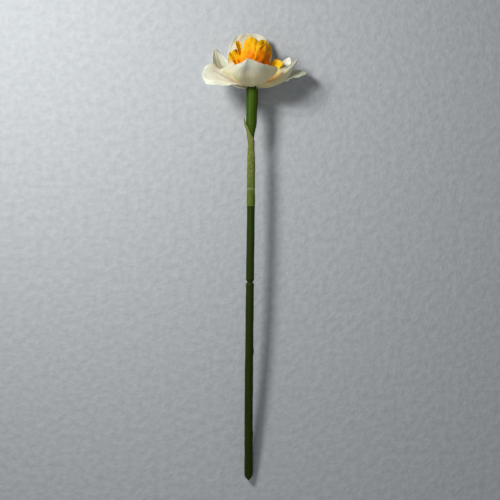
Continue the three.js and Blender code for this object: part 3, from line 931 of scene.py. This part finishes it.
class Finish:
    """A material being put together round one Principled shader."""

    def __init__(self, name, **constants):
        self.material = bpy.data.materials.new(name)
        self.material.use_nodes = True
        self.tree = self.material.node_tree
        self.tree.nodes.clear()
        self.shader = put(self.tree, "ShaderNodeBsdfPrincipled", **constants)
        put(self.tree, "ShaderNodeOutputMaterial", Surface=self.shader.outputs["BSDF"])
        grain = put(self.tree, "ShaderNodeAttribute", {"attribute_name": "grain"})
        self.grain = grain.outputs["Vector"]
        parts = put(self.tree, "ShaderNodeSeparateXYZ", Vector=self.grain)
        self.across, self.along, self.own = parts.outputs

    def streaks(self, across, along, contrast):
        node = put(
            self.tree, "ShaderNodeGroup", {"node_tree": STREAKS}, Grain=self.grain, Across=across,
            Along=along, Contrast=contrast,
        )
        return node.outputs["Mask"]

    def mottle(self, size, contrast):
        node = put(
            self.tree, "ShaderNodeGroup", {"node_tree": MOTTLE}, Size=size, Contrast=contrast,
        )
        return node.outputs["Mask"]

    def place_along(self):
        """How far up the flower a point lies, in millimetres from its cut end."""
        place = put(self.tree, "ShaderNodeTexCoord").outputs["Object"]
        y = put(self.tree, "ShaderNodeSeparateXYZ", Vector=place).outputs["Y"]
        return self.calc("SUBTRACT", self.calc("DIVIDE", y, MM), CUT_END[1])

    def calc(self, operation, *values):
        return calc(self.tree, operation, *values)

    def from_to(self, value, low, high):
        """0 up to low, 1 from high on, and smooth between them."""
        node = put(
            self.tree, "ShaderNodeMapRange", {"interpolation_type": "SMOOTHSTEP"}, Value=value,
            From_Min=low, From_Max=high,
        )
        return node.outputs["Result"]

    def up_to(self, value, low, high):
        """1 up to low, 0 from high on, and smooth between them."""
        return self.calc("SUBTRACT", 1.0, self.from_to(value, low, high))

    def band(self, value, low, middle, high):
        """1 at the middle, falling smoothly to 0 at low and high."""
        rise, fall = self.from_to(value, low, middle), self.from_to(value, middle, high)
        return self.calc("SUBTRACT", rise, fall)

    def base(self, mask, first, second):
        """Starts the base colour: the first colour where the mask is 0, the second where 1."""
        self.colour = blend_colours(self.tree, mask, first, second)

    def tint(self, mask, colour, amount=1.0):
        """Lays a colour over the base colour, by a mask and an amount."""
        share = self.calc("MULTIPLY", mask, amount)
        self.colour = blend_colours(self.tree, share, self.colour, colour)

    def set(self, socket, output):
        self.tree.links.new(output, self.shader.inputs[socket])

    def end(self, height, depth, strength):
        """The material, with its base colour and a bump of the given depth in millimetres."""
        bump = put(
            self.tree, "ShaderNodeBump", Strength=strength, Distance=depth * MM, Height=height,
        )
        self.set("Base Color", self.colour)
        self.set("Normal", bump.outputs["Normal"])
        return self.material


# Materials

def petal_finish():
    """Cream petal, finely veined, green at the claw, partly its own green and partly painted
    shade.
    Its tone lays on painted shade as a tan or grey-green tint, and painted orange corona light.
    """
    finish = Finish(
        "cream petal", Roughness=0.6, Subsurface_Weight=0.6, Subsurface_Scale=0.6 * MM,
        Subsurface_Radius=(1.0, 0.95, 0.75), Specular_IOR_Level=0.3,
    )
    cream, deeper_cream, cool_cream = (0.95, 0.945, 0.8), (0.87, 0.85, 0.66), (0.9, 0.92, 0.79)
    painted_shade_tan, painted_shadow_grey_green, claw_green_and_shade = (0.9, 0.8, 0.4), (0.52, 0.54, 0.4), (0.62, 0.6, 0.3)
    orange = (0.82, 0.46, 0.1)
    veins = finish.streaks(across=26, along=1.1, contrast=2.4)
    patches = finish.mottle(size=14, contrast=1.6)
    finish.base(veins, cream, deeper_cream)
    finish.tint(patches, cool_cream, amount=0.3)
    # Painted shade, warmed by the corona's light: a tan tint by the tone over the lower blade
    painted_shade_share = finish.from_to(finish.own, low=0.0, high=1.2)
    lower = finish.up_to(finish.along, low=0.4, high=0.9)
    finish.tint(finish.calc("MULTIPLY", painted_shade_share, lower), painted_shade_tan)
    # Painted shadow: a grey-green tint where the tone is below 0
    finish.tint(finish.from_to(finish.own, low=0.0, high=-1.0), painted_shadow_grey_green)
    # Green at the claw: partly the tepal's own green foot, partly painted shade there
    finish.tint(finish.up_to(finish.along, low=0.02, high=0.26), claw_green_and_shade, amount=0.5)
    # Painted orange light from the corona, shining through the right-front tepal near its foot
    corona_glow_spot = finish.calc(
        "MULTIPLY", finish.band(finish.along, low=0.0, middle=0.22, high=0.7),
        finish.band(finish.across, low=-0.3, middle=0.7, high=1.6),
    )
    corona_glow_share = finish.from_to(finish.own, low=0.85, high=0.95)
    finish.tint(finish.calc("MULTIPLY", corona_glow_spot, corona_glow_share), orange, amount=1.3)
    height = finish.calc("ADD", veins, finish.calc("MULTIPLY", patches, 0.4))
    return finish.end(height, depth=0.1, strength=0.5)


def corona_finish():
    """Golden corona lobes, deep orange at the foot and yellow at the ruffled rim, with painted
    shade in their creases and painted shade and light set by their tone.
    """
    finish = Finish(
        "golden corona", Roughness=0.55, Subsurface_Weight=0.35, Subsurface_Scale=0.6 * MM,
        Subsurface_Radius=(1.0, 0.45, 0.08), Specular_IOR_Level=0.12,
    )
    deep, orange = (0.75, 0.12, 0.001), (0.86, 0.24, 0.001)
    gold, yellow = (0.92, 0.46, 0.006), (0.95, 0.62, 0.008)
    veins = finish.streaks(across=10, along=1.2, contrast=1.8)
    patches = finish.mottle(size=6, contrast=1.6)
    # The tone shifts each lobe along the colours: partly its own colour, partly painted shade and
    # light
    place = finish.calc("ADD", finish.along, finish.calc("MULTIPLY", finish.own, 0.3))
    finish.base(finish.from_to(place, low=0.2, high=0.55), deep, orange)
    finish.tint(finish.from_to(place, low=0.5, high=0.8), gold)
    finish.tint(finish.from_to(place, low=0.8, high=1.1), yellow)
    finish.tint(veins, deep, amount=0.12)
    finish.tint(patches, yellow, amount=0.2)
    # Painted shade in the creases between rib and margin, deepest on the lobes of lowest tone
    aside = finish.calc("ABSOLUTE", finish.across)
    depth = finish.calc("SUBTRACT", 0.15, finish.calc("MULTIPLY", finish.own, 0.4))
    finish.tint(finish.band(aside, low=0.4, middle=0.7, high=0.85), deep, amount=depth)
    finish.tint(finish.from_to(aside, low=0.78, high=0.95), yellow, amount=0.6)
    return finish.end(finish.calc("ADD", veins, patches), depth=0.12, strength=0.6)


def stem_finish():
    """Dark green waxy skin with fibres along it."""
    finish = Finish("green stem", Specular_IOR_Level=0.1)
    dark, green = (0.01, 0.026, 0.001), (0.026, 0.047, 0.003)
    dull, fresh = (0.026, 0.038, 0.003), (0.034, 0.066, 0.003)
    fibres = finish.streaks(across=34, along=9, contrast=2.2)
    patches = finish.mottle(size=9, contrast=2.0)
    finish.base(fibres, dark, green)
    finish.tint(patches, dull, amount=0.5)
    finish.tint(finish.from_to(finish.along, low=0.55, high=1.0), fresh, amount=0.4)
    rough = put(finish.tree, "ShaderNodeMapRange", Value=patches, To_Min=0.36, To_Max=0.54)
    finish.set("Roughness", rough.outputs["Result"])
    height = finish.calc("ADD", fibres, finish.calc("MULTIPLY", patches, 0.5))
    return finish.end(height, depth=0.12, strength=0.6)


def neck_finish():
    """Smooth mid green neck."""
    finish = Finish("green neck", Roughness=0.5, Specular_IOR_Level=0.1)
    dark, light, dull = (0.026, 0.07, 0.001), (0.072, 0.128, 0.005), (0.046, 0.082, 0.004)
    fibres = finish.streaks(across=18, along=2, contrast=2.8)
    finish.base(fibres, dark, light)
    finish.tint(finish.mottle(size=10, contrast=1.5), dull, amount=0.4)
    return finish.end(fibres, depth=0.08, strength=0.5)


def sheath_finish():
    """Papery olive leaf, greener below a pale ring, with nerves, blotches and a dry mouth."""
    finish = Finish(
        "papery sheath", Roughness=0.65, Subsurface_Weight=0.15, Subsurface_Scale=0.8 * MM,
        Subsurface_Radius=(1.0, 1.0, 0.5), Specular_IOR_Level=0.12,
    )
    olive, light_olive, brown = (0.1, 0.135, 0.015), (0.2, 0.24, 0.04), (0.14, 0.15, 0.03)
    pale, fresh, straw = (0.3, 0.34, 0.09), (0.085, 0.15, 0.012), (0.24, 0.23, 0.07)
    ring_pale = (0.36, 0.4, 0.18)
    nerves = finish.streaks(across=42, along=4, contrast=2.6)
    patches = finish.mottle(size=3.5, contrast=2.6)
    finish.base(nerves, olive, light_olive)
    finish.tint(patches, brown, amount=0.5)
    finish.tint(finish.mottle(size=2.2, contrast=5.0), pale, amount=0.45)
    place = finish.place_along()
    finish.tint(finish.up_to(place, *SHEATH_MARKS["green"]), fresh, amount=0.65)
    finish.tint(finish.from_to(place, *SHEATH_MARKS["dry"]), straw, amount=0.5)
    finish.tint(finish.band(place, *SHEATH_MARKS["ring"]), ring_pale, amount=0.5)
    return finish.end(finish.calc("ADD", nerves, patches), depth=0.2, strength=0.7)


def tissue_finish():
    """Pale wet tissue where the stem was cut."""
    finish = Finish("cut stem tissue", Roughness=0.35)
    pale, green = (0.3, 0.36, 0.16), (0.16, 0.22, 0.06)
    patches = finish.mottle(size=0.7, contrast=3.0)
    finish.base(patches, pale, green)
    return finish.end(patches, depth=0.1, strength=0.6)


def paper_finish():
    """Plain pale paper with a fine tooth."""
    finish = Finish("pale paper", Roughness=0.9)
    grey, light_grey = (0.48, 0.5, 0.525), (0.56, 0.58, 0.605)
    tooth = finish.mottle(size=6, contrast=2.6)
    finish.base(tooth, grey, light_grey)
    return finish.end(tooth, depth=0.8, strength=0.5)


# Scene

def make_floor():
    mesh = bpy.data.meshes.new("floor")
    far = PAPER_REACH * MM
    corners = [(-far, -far, 0), (far, -far, 0), (far, far, 0), (-far, far, 0)]
    mesh.from_pydata(corners, [], [(0, 1, 2, 3)])
    mesh.materials.append(paper_finish())
    new_object("floor", mesh)


def make_camera():
    data = bpy.data.cameras.new("camera")
    data.sensor_width = FILM_WIDTH
    data.lens = FILM_WIDTH * VIEW_HEIGHT / VIEW_WIDTH
    camera = new_object("camera", data)
    camera.location = in_frame([*VIEW_MIDDLE, VIEW_HEIGHT])
    bpy.context.scene.camera = camera


def make_light(name, place, aim, size, watts):
    data = bpy.data.lights.new(name, "AREA")
    data.shape = "DISK"
    data.size = size * MM
    data.energy = watts
    data.color = LIGHT_COLOUR
    light = new_object(name, data)
    light.location = in_frame(place)
    away = np.array(place, float) - (*aim, 0)
    light.rotation_euler = Vector(away).to_track_quat("Z", "Y").to_euler()


def make_sky():
    world = bpy.data.worlds.new("soft sky")
    world.use_nodes = True
    background = world.node_tree.nodes["Background"]
    background.inputs["Color"].default_value = (*SKY_COLOUR, 1)
    background.inputs["Strength"].default_value = SKY_STRENGTH
    bpy.context.scene.world = world
    bpy.context.scene.view_settings.view_transform = "Standard"


make_camera()
for name, settings in LIGHTS.items():
    make_light(name, **settings)
make_sky()
make_floor()
make_stem(stem_finish(), tissue_finish())
make_stalk(neck_finish())
paper_skin = sheath_finish()
make_sheath(paper_skin)
make_nerves(paper_skin)
make_tepals(petal_finish())
make_corona(corona_finish())
